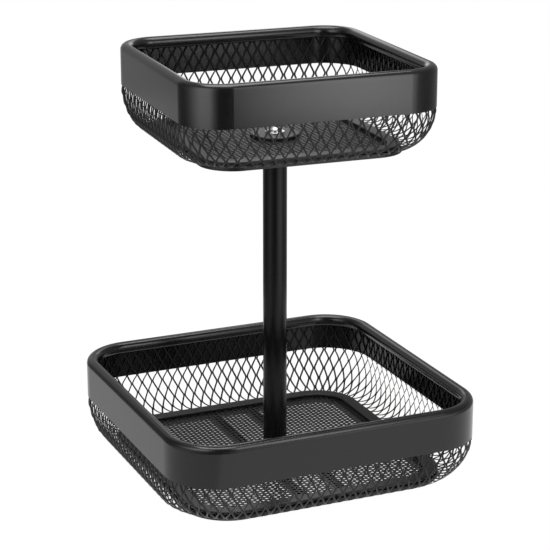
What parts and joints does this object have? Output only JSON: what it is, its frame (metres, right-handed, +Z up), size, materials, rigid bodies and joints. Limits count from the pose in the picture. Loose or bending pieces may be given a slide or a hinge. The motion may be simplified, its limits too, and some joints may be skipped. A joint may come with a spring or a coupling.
{
  "type": "tiered wire basket",
  "caption": "Black two-tier stand of square mesh baskets with smooth rim bands on a central pole; the upper basket turns on the pole.",
  "frame": {"origin": "on the pole's axis, in the plane of the lower foot ring's underside", "axes": "+Z up along the pole, -Y towards the front band, +X to the right"},
  "size_m": [0.25, 0.25, 0.3234],
  "materials": {
    "satin_black_sheet": "satin black powder coat on sheet steel",
    "black_expanded_mesh": "satin black powder coat on expanded metal",
    "satin_black_strip": "satin black powder coat on strip steel",
    "black_floor_mesh": "satin black powder coat on perforated sheet",
    "black_strap": "black powder coat on flat bar",
    "gloss_black_tube": "smooth black powder coat on round tube",
    "chrome_fastener": "bright chrome plate",
    "bare_steel": "plain zinc-grey steel"
  },
  "bodies": {
    "stand": {"lower_rim_band": "satin_black_sheet", "lower_rim_wire": "bare_steel", "lower_wall_mesh": "black_expanded_mesh", "lower_floor_frame": "satin_black_strip", "lower_floor_mesh": "black_floor_mesh", "lower_foot_ring": "satin_black_strip", "lower_strap_left": "black_strap", "lower_strap_right": "black_strap", "lower_hub_disc": "satin_black_strip", "lower_hub_bracket": "black_strap", "pole": "gloss_black_tube", "pole_bottom_plug": "bare_steel", "pole_top_plug": "bare_steel", "bottom_screw": "bare_steel", "top_screw": "chrome_fastener", "top_washer": "chrome_fastener"},
    "upper_basket": {"upper_rim_band": "satin_black_sheet", "upper_rim_wire": "bare_steel", "upper_wall_mesh": "black_expanded_mesh", "upper_floor_frame": "satin_black_strip", "upper_floor_mesh": "black_floor_mesh", "upper_foot_ring": "satin_black_strip", "upper_strap_left": "black_strap", "upper_strap_right": "black_strap", "upper_hub_disc": "satin_black_strip", "upper_hub_bracket": "black_strap"}
  },
  "joints": [
    {"name": "upper_basket_swivel", "type": "hinge", "parent": "stand", "child": "upper_basket", "pos_m": [0, 0, 0.2564], "axis": [0, 0, 1], "continuous": true}
  ]
}
